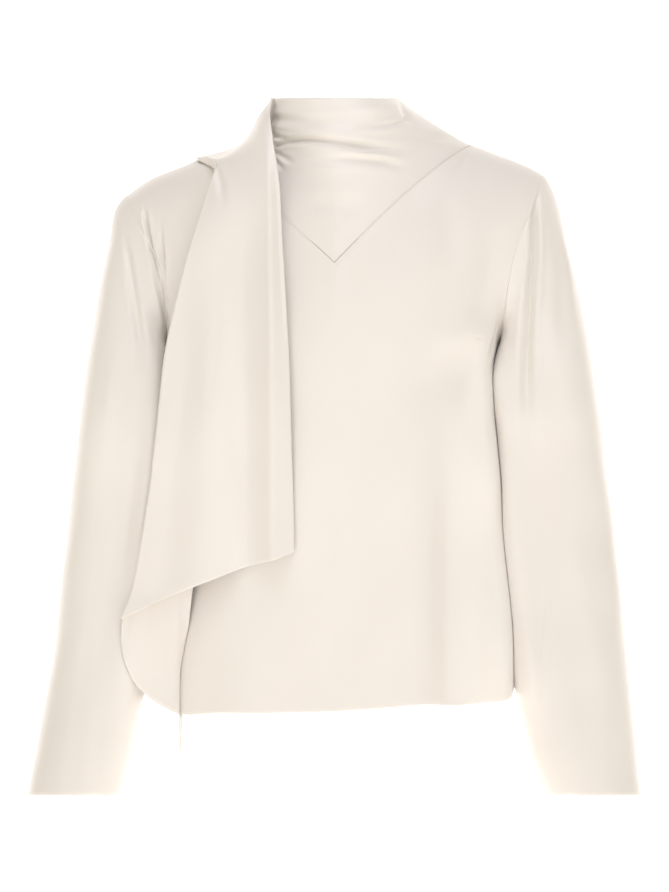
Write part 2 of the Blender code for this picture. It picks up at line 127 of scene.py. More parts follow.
# Collar: the ring at the top of the drape
COLLAR_TOP_Z = 0.0447
COLLAR_CENTRE_Y = -0.012
COLLAR_HALF_DEPTH = 0.062
COLLAR_HALF_WIDTHS = (0.0585, 0.062)  # to the right and to the left
COLLAR_RIGHT_INSET = 0.003  # the drape's end lies inside the scarf on the wearer's right
DRAPE_LEAVES = (
    # the way that the drape leaves the neckline at the right, front, left and back, as a share of
    # its own height
    (1.04, 0, 0.2),
    (0, 0.2, 0.95),
    (-0.8, 0, 0.4),
    (0, -0.25, 0.95),
)
DRAPE_ARRIVES = (
    # and the way that it comes to the top
    (0.03, 0, 1.32),
    (0, 0.1, 0.85),
    (-0.75, 0, 0.6),
    (0, 0, 0.85),
)
DRAPE_FOLDS = (
    # height (0 neckline, 1 top), depth, width, slant along the collar
    (0.88, 0.0022, 0.06, 0.02),
    (0.72, 0.0034, 0.07, -0.05),
    (0.56, 0.003, 0.075, -0.12),
    (0.4, 0.0018, 0.09, -0.16),
)

# Sleeves: level rings below the cap, inner and outer sides measured from the middle of the blouse
SLEEVE_LEFT = metres(
    # z, inner_x, outer_x, centre_y, half_depth
    (-260, 162, 260, -28, 60),
    (-320, 168, 268.5, -31, 58),
    (-380, 173, 275.5, -37, 56),
    (-440, 177.5, 282, -47, 54),
    (-500, 183, 288, -59, 52),
    (-560, 191, 294, -72, 50),
    (-600, 197.5, 298, -80, 48),
    (-633, 209, 301, -87, 46),
)
SLEEVE_RIGHT = metres(
    (-260, 164, 249, -28, 58),
    (-320, 170, 257, -31, 57),
    (-380, 175, 263.5, -37, 55),
    (-440, 180, 270, -47, 53),
    (-500, 187, 277, -59, 51),
    (-560, 194.5, 286.5, -72, 49),
    (-600, 201.5, 294.5, -80, 48),
    (-633, 210, 301.5, -87, 46),
)
CAP_LEAVES = (
    # quarter of the armhole from the shoulder point, way that the cap leaves it (out, front, up)
    (0, 0.05, 0, -0.02),
    (1, 0.05, 0.022, -0.09),
    (2, 0.016, 0, -0.022),
    (3, 0.045, -0.02, -0.09),
    (4, 0.05, 0, -0.02),
)
CAP_ARRIVES = 0.62  # of its own height, how strongly the cap is pulled down into the arm's own line

# Scarf: round the back of the collar, over the wearer's right shoulder and down the front
SCARF_STAND_OFF = 0.0028  # from the drape that it covers
SCARF_FOLD_RADIUS = 0.0022
SCARF_EDGE = metres(
    # x, y, z of its free right edge, in sections from the collar's top to the hem
    (-59.8, -28, 44), (-59.4, -50, 29), (-57.5, -69, 3), (-52.5, -89, -32), (-50, -103, -75),
    (-46.5, -121, -135), (-43.2, -131, -205), (-41.2, -133, -280), (-39.5, -134, -340),
    (-39, -135, -381),
)
SCARF_FOLD = metres(
    # x, y, z of the fold down its left side, in the same sections
    (-118, -38, -13), (-111.2, -56, -15.5), (-118.5, -74, -44), (-129, -86, -77),
    (-145.5, -97, -132), (-159, -104, -195), (-167.5, -107, -270), (-178, -107, -345),
    (-192, -109, -420), (-204, -111, -450),
)
SCARF_CREASE = metres(
    # x, y, z of the crease in the layer under it
    (-124.5, -28, -14.5), (-110.5, -49, -25), (-115, -67, -50), (-118, -82, -83), (-127, -96, -139),
    (-134, -103, -204), (-139, -106, -282), (-147, -106, -362), (-151, -106, -470),
    (-152, -108, -549),
)
SCARF_FREE = metres(
    # x, y, z of the under layer's free edge
    (-128.5, -21, -16.5), (-108.5, -48, -28), (-108, -69, -54), (-108, -87, -86),
    (-115, -100, -143), (-120, -107, -209), (-124, -109, -289), (-131, -107, -372),
    (-145, -101, -490), (-151, -99, -592),
)
SCARF_CURVES = metres(
    # bow out of the front layer, its sag, belly of the under layer down and to the left
    (4, 13, 0), (4, 8, 0), (4, 3, 0), (4, 0, 0), (3, 0, 0), (2, 0, 0), (2, 0, 0), (2, 0, 2),
    (2, -3, 10), (2, -5, 19),
)

# Folds, listed one by one. Each has its depth, the ridge on its right and on its left as seen going
# along it, its width where it starts and ends, the shares of its length over which it fades in and
# out, and its path as seen from the front: its start, then the steps along it. A ridge has a
# depth over 0.
CREASE_DOWN = (
    -5, 1.4, 2.2, 2.4, 3.4, 0.14, 0.1,
    (-185, -57, 3, -15, 3, -17, 4, -17, 4, -18, 3, -13, 3, -11, 2, -14, 1, -16),
)
CREASE_BESIDE = (-4.2, 0.9, 1.2, 2, 2.4, 0.45, 0.15, (-168, -66, 1, -22, 2, -22, 1, -20, 0, -18))
LEFT_SLEEVE_FOLDS = (
    # inner side turned forward
    (5, 0, 0, 11, 12, 0.3, 0.3, (162, -225, 6, -59, 6, -59, 7, -60, 7, -60, 8, -57, 7, -60)),
    # long fold
    (-8, 2.6, 2.6, 3.4, 6, 0.16, 0.45,
     (201, -34, -4, -12, -3, -14, -1, -19, -1, -24, -2, -24, -3, -29, -2, -29, 0, -39, 0, -39,
      2, -39)),
    # beside it
    (-1.4, 0.4, 0.8, 6, 9, 0.4, 0.5, (216, -68, 3, -42, 1, -56, 3, -57)),
    # inner fold low
    (-1.6, 0.7, 0.9, 4.5, 4, 0.45, 0.35, (207, -397, -4, -39, -3, -39, 0, -39, 0, -35)),
    # forearm hollow
    (-2, 0, 0.8, 14, 16, 0.4, 0.4, (247, -311, 7, -67, 5, -58, 8, -67)),
    # elbow light
    (2, 0, 0, 12, 14, 0.4, 0.4, (220, -270, 3, -68, 4, -67, 6, -67)),
    # cuff soft
    (-1.2, 0.4, 0, 9, 10, 0.5, 0, (218, -521, 6, -47, 4, -54)),
    (-1.3, 0.4, 0.3, 10, 12, 0.5, 0, (269, -531, 7, -48, 2, -42)),
)
RIGHT_SLEEVE_FOLDS = (
    CREASE_DOWN,
    CREASE_BESIDE,
    # outer line
    (-4, 1.2, 1.6, 3, 5, 0.3, 0.45, (-206, -80, 5, -19, 5, -28, 5, -29, 5, -34, 4, -34)),
    # inner side turned forward
    (6, 0, 0, 12, 12, 0.3, 0.3, (-166, -205, -4, -45, -5, -50, -6, -55, -8, -65, -10, -60)),
    # light band
    (1.8, 0, 0, 9, 11, 0.4, 0.4, (-209, -167, -4, -56, -3, -57, -4, -58)),
    # long hollow
    (-2.6, 0.8, 1, 9, 14, 0.4, 0.4, (-186, -262, -6, -48, -9, -58, -10, -57, -11, -57, -7, -47)),
    # inner ridge
    (1.5, 0, 0, 8, 10, 0.4, 0.4, (-179, -283, -7, -58, -9, -57, -9, -57)),
    # cuff hollow
    (-1.4, 0.4, 0.5, 8, 9, 0.4, 0, (-223, -520, -5, -48, -3, -54)),
    # cuff ridge
    (1, 0, 0, 9, 10, 0.4, 0, (-251, -520, -6, -48, -6, -52)),
)
FRONT_FOLDS = (
    CREASE_DOWN,
    CREASE_BESIDE,
    # bust hollow
    (-3.2, 0.4, 0.4, 14, 17, 0.4, 0.35, (160, -70, -7, -30, -8, -30, -8, -28, -9, -18)),
    # armpit crease
    (-3.4, 1.2, 1.2, 2, 2, 0.25, 0.25, (158, -168, -2, -11, -4, -10, -3, -14)),
    # side ridge
    (5, 0, 0, 15, 15, 0.3, 0, (150, -245, 3, -55, 3, -50, 4, -50, 3, -50, 2, -50, 0, -40)),
    # shoulder soft
    (-1.6, 0.3, 0.3, 12, 14, 0.4, 0.5, (112, -37, -2, -28, -1, -32, 2, -28)),
    # tick
    (-0.8, 0.4, 0.4, 1.6, 1.4, 0.4, 0.4, (134, -179, 4, -3, 4, 3)),
    (-0.6, 0.2, 0.2, 1.4, 1.4, 0.5, 0.4, (137, -186, 2, 4)),
    # under bust light
    (1.5, 0, 0, 10, 14, 0.4, 0.4, (161, -173, -21, -4, -25, -4, -25, 0)),
    # neck point
    (-1.5, 0.5, 0.5, 4, 5, 0.1, 0.5, (132, -1, -4, -7, -6, -9, -6, -8)),
    # middle ridge
    (2.2, 0, 0, 22, 26, 0.5, 0, (62, -171, 8, -85, 4, -96, 2, -98, 0, -82)),
    # middle hollow
    (-1.5, 0, 0, 16, 22, 0.5, 0, (15, -170, 0, -85, 0, -96, 0, -96, 0, -86)),
    # side hollow
    (-10, 0, 1, 20, 21, 0.55, 0, (112, -230, 1, -60, 1, -60, 0, -60, 0, -60, 0, -65)),
    # beside scarf
    (1.5, 0, 0, 10, 12, 0.5, 0.3, (-31, -170, 2, -85, 1, -77, -1, -96)),
    # low left hollow
    (-2.2, 0.4, 0, 14, 18, 0.5, 0, (-115, -433, -3, -49, -9, -64)),
    # low left ridge
    (1.6, 0, 0, 14, 16, 0.5, 0, (-76, -430, -1, -49, -1, -66)),
    # V point pull
    (-1.3, 0.4, 0.4, 9, 12, 0.3, 0.5, (10, -107, 6, -17, 4, -19)),
    # left chest
    (-1.1, 0.3, 0.3, 8, 10, 0.4, 0.4, (-147, -43, 4, -28, 3, -28)),
)
DRAPE_FRONT_FOLDS = (
    # band
    (-2, 0.7, 0.6, 4, 6, 0.02, 0.5, (-60, 25, 18, 0, 19, -1, 19, 0, 21, 1)),
    # below band
    (1.5, 0, 0, 4, 5, 0.05, 0.4, (-59, 18, 26, -1, 29, -2, 28, -1, 31, 4)),
    # short dark
    (-2, 0.9, 0.5, 2.6, 2.6, 0.35, 0.25, (30, 18, 13, 1, 14, 2, 12, 4, 6, 6)),
    # corner hollow
    (-2.6, 0, 0, 6, 7, 0.5, 0.4, (62, 43, 3, -5, 6, -11, 7, -10)),
    # knot
    (-2.4, 0.9, 0.9, 2.4, 2.4, 0.02, 0.6, (-60, 10, 5, -2, 8, -1, 10, -1)),
    # main fold
    (-4.2, 2.2, 1.6, 2.8, 5, 0.02, 0.45,
     (-60, -1, 8, 3, 12, 3, 17, 1, 23, -2, 24, -4, 29, -3, 29, 0)),
    # second fold
    (-2.6, 0.7, 1.7, 3.6, 4.5, 0.45, 0.3, (-42, -10, 19, -2, 23, -1, 24, 0, 24, -4, 28, -2)),
    # pinch diag
    (-1.6, 0.6, 0.7, 2.4, 3, 0.1, 0.5, (-58, -5, 6, -4, 8, -4, 9, -4)),
    (-1.2, 0.5, 0.5, 2.2, 2.6, 0.1, 0.5, (-58, -12, 5, -6, 6, -7)),
    # highlight
    (1.3, 0, 0, 7, 7, 0.4, 0.4, (0, 36, 19, -1, 19, 1, 17, 2)),
    # upper left
    (-0.9, 0.3, 0, 5, 5, 0.1, 0.5, (-58, 39, 16, -1, 19, -3, 14, -3)),
    # soft lower
    (-1, 0.4, 0.4, 7, 9, 0.3, 0.4, (-33, -55, 24, 2, 24, -2, 26, 5)),
    # V pull
    (0.9, 0, 0, 7, 9, 0.3, 0.3, (0, -101, 3, 19, 7, 18)),
    # to shoulder
    (-1.1, 0.4, 0.5, 5, 6, 0.4, 0.3, (67, 9, 20, -2, 20, 0, 15, -2)),
)
SCARF_FRONT_FOLDS = (
    # right edge laid down, so that a light strip faces the right
    (-5, 0, 0, 5, 8, 0.12, 0,
     (-56, -12, 2, -28, 2, -54, 3, -37, 3, -37, 4, -47, 3, -57, 1, -57, 2, -59)),
    # crest beside the strip
    (3.2, 0, 0, 4, 5, 0.2, 0, (-63, 10, 2, -40, 2, -64, 1, -37, 0, -84, 0, -85, 0, -90)),
    # its dark left flank
    (7, 0, 0, 16, 11, 0.05, 0, (-62, 34, 2, -64, 1, -64, 1, -37, 0, -84, 0, -85, 0, -90)),
    # long valley
    (-10, 0, 0.4, 14, 16, 0.8, 0,
     (-92, 6, -2, -44, 0, -38, 2, -56, 2, -38, 1, -40, 1, -50, 1, -60, 0, -50, 0, -32)),
    # broad ridge
    (5, 0, 0, 15, 18, 0.45, 0, (-116, -150, -1, -60, -1, -65, -4, -67, -8, -72)),
    # left hollow
    (-2.4, 0, 0.3, 10, 14, 0.5, 0, (-140, -172, -9, -85, -9, -86, -10, -83)),
    # lip
    (-1.6, 0.6, 0.7, 3.5, 5, 0.05, 0.6, (-116, -14, 5, -11, 4, -16, 3, -23)),
)
BACK_FOLDS = (
    # long hollows down from the shoulder blades
    (-2.6, 0.6, 0.8, 14, 20, 0.45, 0, (-96, -170, 4, -90, -3, -100, -9, -90, -6, -90)),
    (-2, 0.5, 0.4, 16, 22, 0.5, 0, (24, -210, -4, -90, -4, -90, -2, -70, -2, -76)),
    (-2.8, 0.6, 0.9, 13, 19, 0.5, 0, (112, -200, 4, -90, 0, -80, -4, -80, -4, -86)),
    (1.8, 0, 0, 18, 24, 0.5, 0, (-40, -240, 0, -90, -4, -100, -2, -108)),
    (2, 0, 0, 16, 22, 0.5, 0, (68, -220, -2, -100, -4, -100, -2, -117)),
    # pulls from the armholes
    (-2.4, 0.6, 0.8, 7, 13, 0.15, 0.5, (150, -150, -18, -22, -20, -14, -24, -8)),
    (-2.2, 0.8, 0.5, 7, 12, 0.15, 0.5, (-152, -160, 18, -24, 22, -16, 28, -8)),
    (-1.6, 0.4, 0.5, 6, 9, 0.2, 0.5, (160, -108, -14, -16, -18, -12)),
    (-1.4, 0.5, 0.3, 6, 9, 0.2, 0.5, (-162, -122, 14, -18, 18, -12)),
    # soft cross folds under the collar
    (-1.4, 0.4, 0.4, 8, 10, 0.35, 0.35, (-76, -60, 46, -12, 50, 0, 50, 14)),
    (-1.2, 0.3, 0.4, 10, 12, 0.4, 0.4, (-60, -98, 45, -14, 55, 4, 44, 16)),
)
LEFT_SLEEVE_BACK_FOLDS = (
    (-3, 1, 1.2, 5, 9, 0.2, 0.45, (206, -60, -6, -40, -4, -50, 0, -55, 4, -57)),
    (-2.6, 0.8, 0.9, 9, 14, 0.4, 0.4, (218, -250, 8, -70, 14, -70, 10, -70, 4, -70)),
    (2, 0, 0, 10, 13, 0.4, 0.4, (246, -230, 4, -80, -4, -80, -10, -70)),
    (-1.8, 0.6, 0.6, 6, 9, 0.35, 0.4, (246, -300, -16, -30, -20, -18, -18, -8)),
    (-1.6, 0.5, 0.4, 6, 9, 0.35, 0.4, (256, -360, -16, -32, -22, -16, -20, -4)),
    (-1.6, 0.4, 0.3, 9, 11, 0.5, 0, (232, -520, 8, -60, 4, -60)),
    (1.2, 0, 0, 9, 12, 0.5, 0, (270, -510, 6, -70, 4, -60)),
)
RIGHT_SLEEVE_BACK_FOLDS = (
    (-2.8, 1.1, 0.9, 5, 9, 0.2, 0.45, (-212, -72, 8, -40, 6, -52, 2, -56, -4, -56)),
    (-2.4, 0.8, 0.8, 9, 13, 0.4, 0.4, (-224, -262, -4, -68, -8, -70, -10, -70, -6, -66)),
    (1.9, 0, 0, 10, 13, 0.4, 0.4, (-196, -300, -8, -70, -12, -70, -10, -60)),
    (-1.7, 0.5, 0.6, 6, 9, 0.35, 0.4, (-240, -318, 18, -26, 18, -14, 16, -4)),
    (-1.4, 0.4, 0.5, 6, 8, 0.35, 0.4, (-248, -382, 16, -22, 20, -12, 18, -2)),
    (-1.5, 0.3, 0.4, 9, 11, 0.5, 0, (-234, -530, -6, -60, -6, -60)),
)
DRAPE_BACK_FOLDS = (
    (-2.2, 0.8, 0.9, 4, 6, 0.3, 0, (78, 0, -18, 6, -24, 4, -28, 2, -8, 0)),
    (-1.8, 0.6, 0.7, 4, 5, 0.4, 0, (66, 26, -16, 0, -24, 1, -26, 1)),
)
SCARF_BACK_FOLDS = (
    (-2, 0.8, 0.8, 4, 6, 0, 0.4, (0, 12, -20, 0, -24, -3, -22, -7, -18, -8)),
    (-1.7, 0.7, 0.6, 4, 5, 0, 0.45, (0, 28, -18, 0, -20, -2, -18, -6)),
)

# How finely the cloth is drawn, in steps
HALF_PANEL_STEPS = 82  # from the middle of a panel to its side
BODY_STEPS = 128  # from the hem to the armpits
CENTRE_STEPS = 40  # from there to the neckline
YOKE_STEPS = 84  # along the neckline
SLEEVE_AROUND = 224
CAP_STEPS = 60
ARM_STEPS = 122
DRAPE_AROUND = 270
DRAPE_STEPS = 84
SCARF_STEPS = 330
TIGHT_PLACES = np.array([0.0005, 0.0011, 0.0019])  # extra steps, from a tight end
PANEL_HALF_WIDTH = 0.19  # about what it is all the way down
PANEL_DEPTH_SHARE = 0.65
YOKE_SPACED_AT = 0.35  # how far out from the neckline the yoke's rows are evenly spaced
DRAPE_SPACED_AT = 0.3  # where round the neck the drape's are

# The cloth and its seams
CLOTH = 0.0009  # thickness
GROOVE = 0.0003  # how deep the groove at a seam is
FLAT_GROOVE = 0.00002
GROOVE_REACH = 0.0012
LAP = 0.0012  # how far the sleeve's edge goes under the torso's
BRIDGE_REACH = 0.013  # over which the cloth spans the hollow beside an armhole
BRIDGE_FADE = 0.3  # share of half the armhole, from the armpit, over which that comes in
BRIDGE_PANEL_SHARE = 0.96  # where the way into the seam is read on the panel
BRIDGE_SLEEVE_AT = 0.006  # and on the sleeve
SEAM_CALM = 0.002  # folds start this far from a seam
NUDGE_CALM = 0.011  # and nudges this far
SLEEVE_OFF_BODY = 0.0005
SCARF_OFF_OTHERS = 0.0016
SEWN_REACH = 0.008  # this close to its armhole a sleeve isn't kept off the body
DEEPEST_TOUCH = 0.012  # cloth deeper in another piece than this is on its far side
TOUCH_REACH = 0.02
BODY_WAVE = 0.0006  # unevenness
WAVE = {"collar_drape": 0.0003, "scarf": 0.0003}
WAVELENGTH = 0.075

# A sleeve's section where it hangs beside the body and at the cuff, as the power of the rounded
# corner in each quarter: outer front, inner front, inner back and outer back
FLAT_CORNERS = (2.5, 4.2, 2.5, 2.5)
ROUND_CORNERS = (2.2, 2.2, 2.2, 2.2)
FLAT_SHARE = 0.3  # how far the change from one to the other starts below the cap
SNUG_LEFT = 0.003  # how much closer to the body a sleeve hangs than its solid does
SNUG_RIGHT = 0.007
SNUG_IN = 0.05  # below the cap, over which it comes closer
SNUG_OUT = (0.06, 0.08)  # above the cuff, where it has stopped and over which it does
CUFF_TILT = 0.3
CUFF_REACH = 0.1
CAP_LENGTH = 0.1
EDGE_ROWS = 4  # at a sewn edge that smoothing leaves as they are

DRAPE_FOLD_SHARE = 0.3
DRAPE_FOLD_REACH = (0.95, 0.85)  # quarters of the neck, to the right and to the left

# Columns of the scarf's section: 0 is its free right edge, 8 to 10 go round the fold down its left
# side, 13 is the crease in the under layer and 14 that layer's free edge.
SCARF_COLUMNS = np.concatenate([
    np.linspace(0, 8, 61)[:-1], np.linspace(8, 10, 9)[:-1], np.linspace(10, 13, 23)[:-1],
    np.linspace(13, 14, 15),
])
SCARF_TURN = 9  # the column in the middle of that fold
SCARF_UNDER_SHARE = 0.08  # of the collar's height is under the scarf's lower edge
SCARF_MIDDLE = 24  # the place in a section along which the sections are spaced

FOLD_STEP = 0.0012
RIDGE_AT = 1.6  # widths from the middle of a fold to the ridges beside it
# Way that a set of folds faces, and how far past the side it goes, in a normal's Y
FRONT = (-1, 0.25)
BACK = (1, 0.25)
SCARF_BACK = (1, 0)
PART = 4000  # points worked on at once

# Small moves that press the sleeves and the body together, in millimetres
NUDGES = {
    # place, reach, step
    "front": (
        ((152, -62, -215), (18, 30, 32), (5, -12, 0)),
        ((148, -60, -285), (22, 34, 80), (3, -22, 0)),
        ((162, -66, -475), (24, 36, 115), (8, -24, 0)),
    ),
    "left_sleeve": (
        ((162, -62, -218), (22, 34, 34), (-15, -12, 0)),
        ((166, -62, -285), (18, 42, 60), (-6, -2, 0)),
        ((163, 15, -230), (14, 40, 30), (-7, 0, 0)),
        ((172, -82, -375), (18, 40, 60), (-7, -2, 0)),
        ((184, -96, -490), (18, 40, 110), (-12, 4, 0)),
    ),
    "right_sleeve": (
        ((-222, -20, -62), (16, 80, 22), (-4, 0, 1.5)),
        ((-166, -66, -215), (24, 34, 34), (12, -15, 0)),
        ((-172, -74, -300), (18, 30, 70), (9, -10, 0)),
        ((-184, -88, -425), (18, 34, 65), (10, -5, 0)),
    ),
    "scarf": (
        ((-150, -100, -160), (30, 60, 80), (0, 8, 0)),
        ((-145, -100, -520), (40, 50, 85), (0, 14, 0)),
    ),
    "collar_drape": (((-56, -30, 12), (16, 30, 45), (-2, -10, 0)),),
}

# Looks and studio
SATINS = (
    # name, lighter shade, deeper shade, roughness, sheen
    ("ivory_satin", (0.817, 0.778, 0.722), (0.795, 0.75, 0.69), 0.36, 0.6),
    ("ivory_wrong_side", (0.8, 0.73, 0.64), (0.78, 0.7, 0.61), 0.62, 0.2),
)
CAMERA = (0.0, -2.3, 0.05)
AIM = (0.0, 0.0, -0.299)
LENS = 93.888
MIDDLE = (0, 0, -0.3)
FLOOR_Z = -1.35
FLOOR_GLOW = 1.0
WORLD_COLOUR = (1.0, 0.88, 0.72)
WORLD_STRENGTH = 0.31
LIGHTS = (
    # name, place, size, watts, colour
    ("key", (1.25, -2.7, 0.9), 2.4, 15.4, (0.955, 1.0, 1.14)),
    ("fill", (-1.8, -2.4, 0.4), 1.4, 6, (0.975, 1.0, 1.07)),
    ("top", (0.0, -0.9, 1.7), 1.6, 19, (0.975, 1.0, 1.07)),
)


def read_curve(table, column, at):
    """A smooth curve through one column of a table, read at places of its first column."""
    rows = np.array(table, dtype=float)
    rows = rows[np.argsort(rows[:, 0])]
    keys, values = rows[:, 0], rows[:, column]
    at = np.clip(at, keys[0], keys[-1])
    slopes = np.gradient(values, keys)
    i = np.clip(np.searchsorted(keys, at) - 1, 0, len(keys) - 2)
    step = keys[i + 1] - keys[i]
    t = (at - keys[i]) / step
    held = values[i] * (1 + 2 * t) * (1 - t) ** 2 + values[i + 1] * t * t * (3 - 2 * t)
    turned = slopes[i] * t * (1 - t) ** 2 - slopes[i + 1] * t * t * (1 - t)
    return held + turned * step


def hermite(start, leave, end, arrive, t):
    """The point at t on the cubic from start to end with these tangents."""
    held = start * (1 + 2 * t) * (1 - t) ** 2 + leave * t * (1 - t) ** 2
    return held + end * t * t * (3 - 2 * t) - arrive * t * t * (1 - t)


def smoothstep(t):
    t = np.clip(t, 0, 1)
    return t * t * (3 - 2 * t)


def rising(count, calm, over):
    """Shares for a row of places: 0 at the first few, then up to 1 over some more."""
    return smoothstep((np.arange(count) - calm) / over)


def blur(values, sigma, axis=0):
    """Values smoothed along an axis over sigma steps. Both ends stay where they are."""
    values = np.moveaxis(np.asarray(values, dtype=float), axis, 0)
    reach = min(int(3 * sigma) + 1, len(values) - 1)
    kernel = np.exp(-((np.arange(-reach, reach + 1) / sigma) ** 2) / 2)
    before = 2 * values[:1] - values[reach:0:-1]
    after = 2 * values[-1:] - values[-2 : -reach - 2 : -1]
    padded = np.concatenate([before, values, after])
    total = sum(k * padded[i : i + len(values)] for i, k in enumerate(kernel / kernel.sum()))
    return np.moveaxis(total, 0, axis)


def along(points):
    """Distances along a line of points, from its first."""
    return np.concatenate([[0], np.cumsum(np.linalg.norm(np.diff(points, axis=0), axis=1))])


def unit(ways):
    return ways / np.linalg.norm(ways, axis=1, keepdims=True)


def towards(start, end, distance):
    """Steps of one distance from each start to its end."""
    way = end - start
    return distance * way / np.linalg.norm(way, axis=1, keepdims=True)


def evenly(points, places, steps, tight=(True, True)):
    """Places evenly along a line of points, with a few more at its tight ends."""
    length = along(points)
    wanted = np.linspace(0, length[-1], steps + 1)
    if tight[0]:
        wanted = np.concatenate([wanted, TIGHT_PLACES])
    if tight[1]:
        wanted = np.concatenate([wanted, length[-1] - TIGHT_PLACES])
    return np.interp(np.sort(wanted), length, places)


def shoulder_z(x):
    return NECK_Z - SHOULDER_SLOPE * (np.abs(x) - NECK_X)


def torso_y(x, z, front):
    """The depth of the torso's shell at a place seen from the front."""
    half_width, side_y = read_curve(TORSO, 1, z), read_curve(TORSO, 3, z)
    middle_y = read_curve(TORSO, 2 if front else 4, z)
    power = FRONT_DOME_POWER if front else BACK_DOME_POWER
    across = np.clip(np.abs(x) / half_width, 0, 1) ** SECTION_POWER
    rise = np.clip((z - ARMPIT_Z) / (shoulder_z(x) - ARMPIT_Z), 0, 1) ** power
    share = (1 - across) ** (1 / SECTION_POWER) * (1 - rise) ** (1 / power)
    return side_y + (middle_y - side_y) * share


def leaned(points):
    """The points with the right side pulled and lower, and the hem swung to the right."""
    points = np.array(points, dtype=float)
    x, z = points[..., 0].copy(), points[..., 2].copy()
    for at_x, at_z, reach_x, reach_z, drawn_in, drawn_up in PULLS:
        share = np.exp(-(((x - at_x) / reach_x) ** 2) - ((z - at_z) / reach_z) ** 2)
        points[..., 0] += drawn_in * share
        points[..., 2] += drawn_up * share
    points[..., 0] -= SWAY * points[..., 2] ** 2
    points[..., 2] += LEAN * points[..., 0]
    return points


def fluted(points, front):
    """The panel's points moved out by its flutes, which fade before the side seams."""
    x, z = points[:, 0], points[:, 2]
    opened = np.clip((FLUTE_TOP_Z - z) / (FLUTE_TOP_Z - HEM_Z), 0, 1) ** 1.5
    kept = 1 - np.clip(np.abs(x) / read_curve(TORSO, 1, z), 0, 1) ** 8
    moved = points.copy()
    for at, reach, drop, width in FLUTES["front" if front else "back"]:
        share = opened * kept * np.exp(-(((x - at) / width) ** 2))
        moved[:, 1] += (-1 if front else 1) * reach * share
        moved[:, 2] -= drop * share
    return moved


def neckline_z(x, front):
    if front:
        return NECK_Z - (NECK_Z - V_POINT_Z) * (1 - np.abs(x) / NECK_X) ** V_POWER
    return BACK_NECK_Z + (NECK_Z - BACK_NECK_Z) * (np.abs(x) / NECK_X) ** BACK_NECK_POWER


def quads(rows, columns, ring=False):
    """Faces over a grid of points numbered row by row. A ring's last column meets its first."""
    last = columns if ring else columns - 1
    r, c = np.meshgrid(np.arange(rows - 1), np.arange(last), indexing="ij")
    near, far, d = r * columns, (r + 1) * columns, (c + 1) % columns
    return np.stack([near + c, near + d, far + d, far + c], axis=-1).reshape(-1, 4)


def normals_of(points, faces):
    """Unit normals of a mesh of quads at its points."""
    corners = points[faces]
    face = np.cross(corners[:, 2] - corners[:, 0], corners[:, 3] - corners[:, 1])
    total = np.zeros_like(points)
    for k in range(4):
        np.add.at(total, faces[:, k], face)
    return total / np.maximum(np.linalg.norm(total, axis=1, keepdims=True), 1e-12)


def upper_row(p, share, front):
    """Places above the armpits: p is 0 there, 1 at the neckline's low point, 3 at the shoulder."""
    point_z = V_POINT_Z if front else BACK_NECK_Z
    from_x = NECK_X * np.clip(p / 2 - 0.5, 0, 1)
    from_z = np.where(p < 1, ARMPIT_Z + (point_z - ARMPIT_Z) * p, neckline_z(from_x, front))
    rise = (1 - np.cos(math.pi * p / 3)) / 2
    to_z = ARMPIT_Z + (shoulder_z(SHOULDER_X) - ARMPIT_Z) * rise
    x = from_x + (read_curve(ARMHOLE, 1, to_z) - from_x) * share
    z = from_z + (to_z - from_z) * share
    return np.stack([x, torso_y(x, z, front), z], axis=-1)


def half_panel(front):
    """The left half of the front or back as a grid of points, and the grooves at its seams."""
    across = np.linspace(0, 1, 4000)
    depth = PANEL_DEPTH_SHARE * (1 - across**SECTION_POWER) ** (1 / SECTION_POWER)
    share = evenly(np.c_[across, depth] * PANEL_HALF_WIDTH, across, HALF_PANEL_STEPS)
    p = np.linspace(1, 3, 3000)
    yoke = evenly(upper_row(p, YOKE_SPACED_AT, front), p, YOKE_STEPS, (False, True))
    upper = np.concatenate([np.linspace(0, 1, CENTRE_STEPS + 1)[:-1], yoke])
    z = np.linspace(HEM_Z, ARMPIT_Z, BODY_STEPS + 1)[:-1, None]
    x = share * read_curve(TORSO, 1, z)
    z = z + 0 * x
    lower = np.stack([x, torso_y(x, z, front), z], axis=-1)
    grid = np.concatenate([lower, upper_row(upper[:, None], share, front)])
    grid[:, :, 1] = eased(grid[:, :, 1])
    groove = np.zeros(grid.shape[:2])
    groove[:, -1] = FLAT_GROOVE
    groove[-1] = FLAT_GROOVE
    groove[-len(yoke) :, 0] = GROOVE
    return grid, groove


def eased(depth):
    """A grid of depths with its small unevenness smoothed out, but not near its seams."""
    smooth = blur(blur(depth, 5, 0), 3, 1)
    rows, columns = depth.shape
    calm = rising(rows, EDGE_ROWS, 24)[::-1, None] * rising(columns, EDGE_ROWS, 24)[::-1]
    inner = rising(columns, EDGE_ROWS, 16)
    below = rising(rows, YOKE_STEPS + 2 * EDGE_ROWS, 16)[::-1, None]
    return depth + (smooth - depth) * calm * np.maximum(inner, below)


def torso(front):
    grid, groove = half_panel(front)
    half = quads(*grid.shape[:2])
    flat = grid.reshape(-1, 3)
    points = np.concatenate([flat, flat * [-1, 1, 1]])
    faces = np.concatenate([half, (half + len(flat))[:, ::-1]])
    same = np.round(points, 7)
    _, kept, index = np.unique(same, axis=0, return_index=True, return_inverse=True)
    faces = index.reshape(-1)[faces]
    if not front:
        faces = faces[:, ::-1]
    points = fluted(points[kept], front)
    points[:, 1] += -SEAM_GAP / 2 if front else SEAM_GAP / 2
    return leaned(points), faces, np.tile(groove.reshape(-1), 2)[kept]


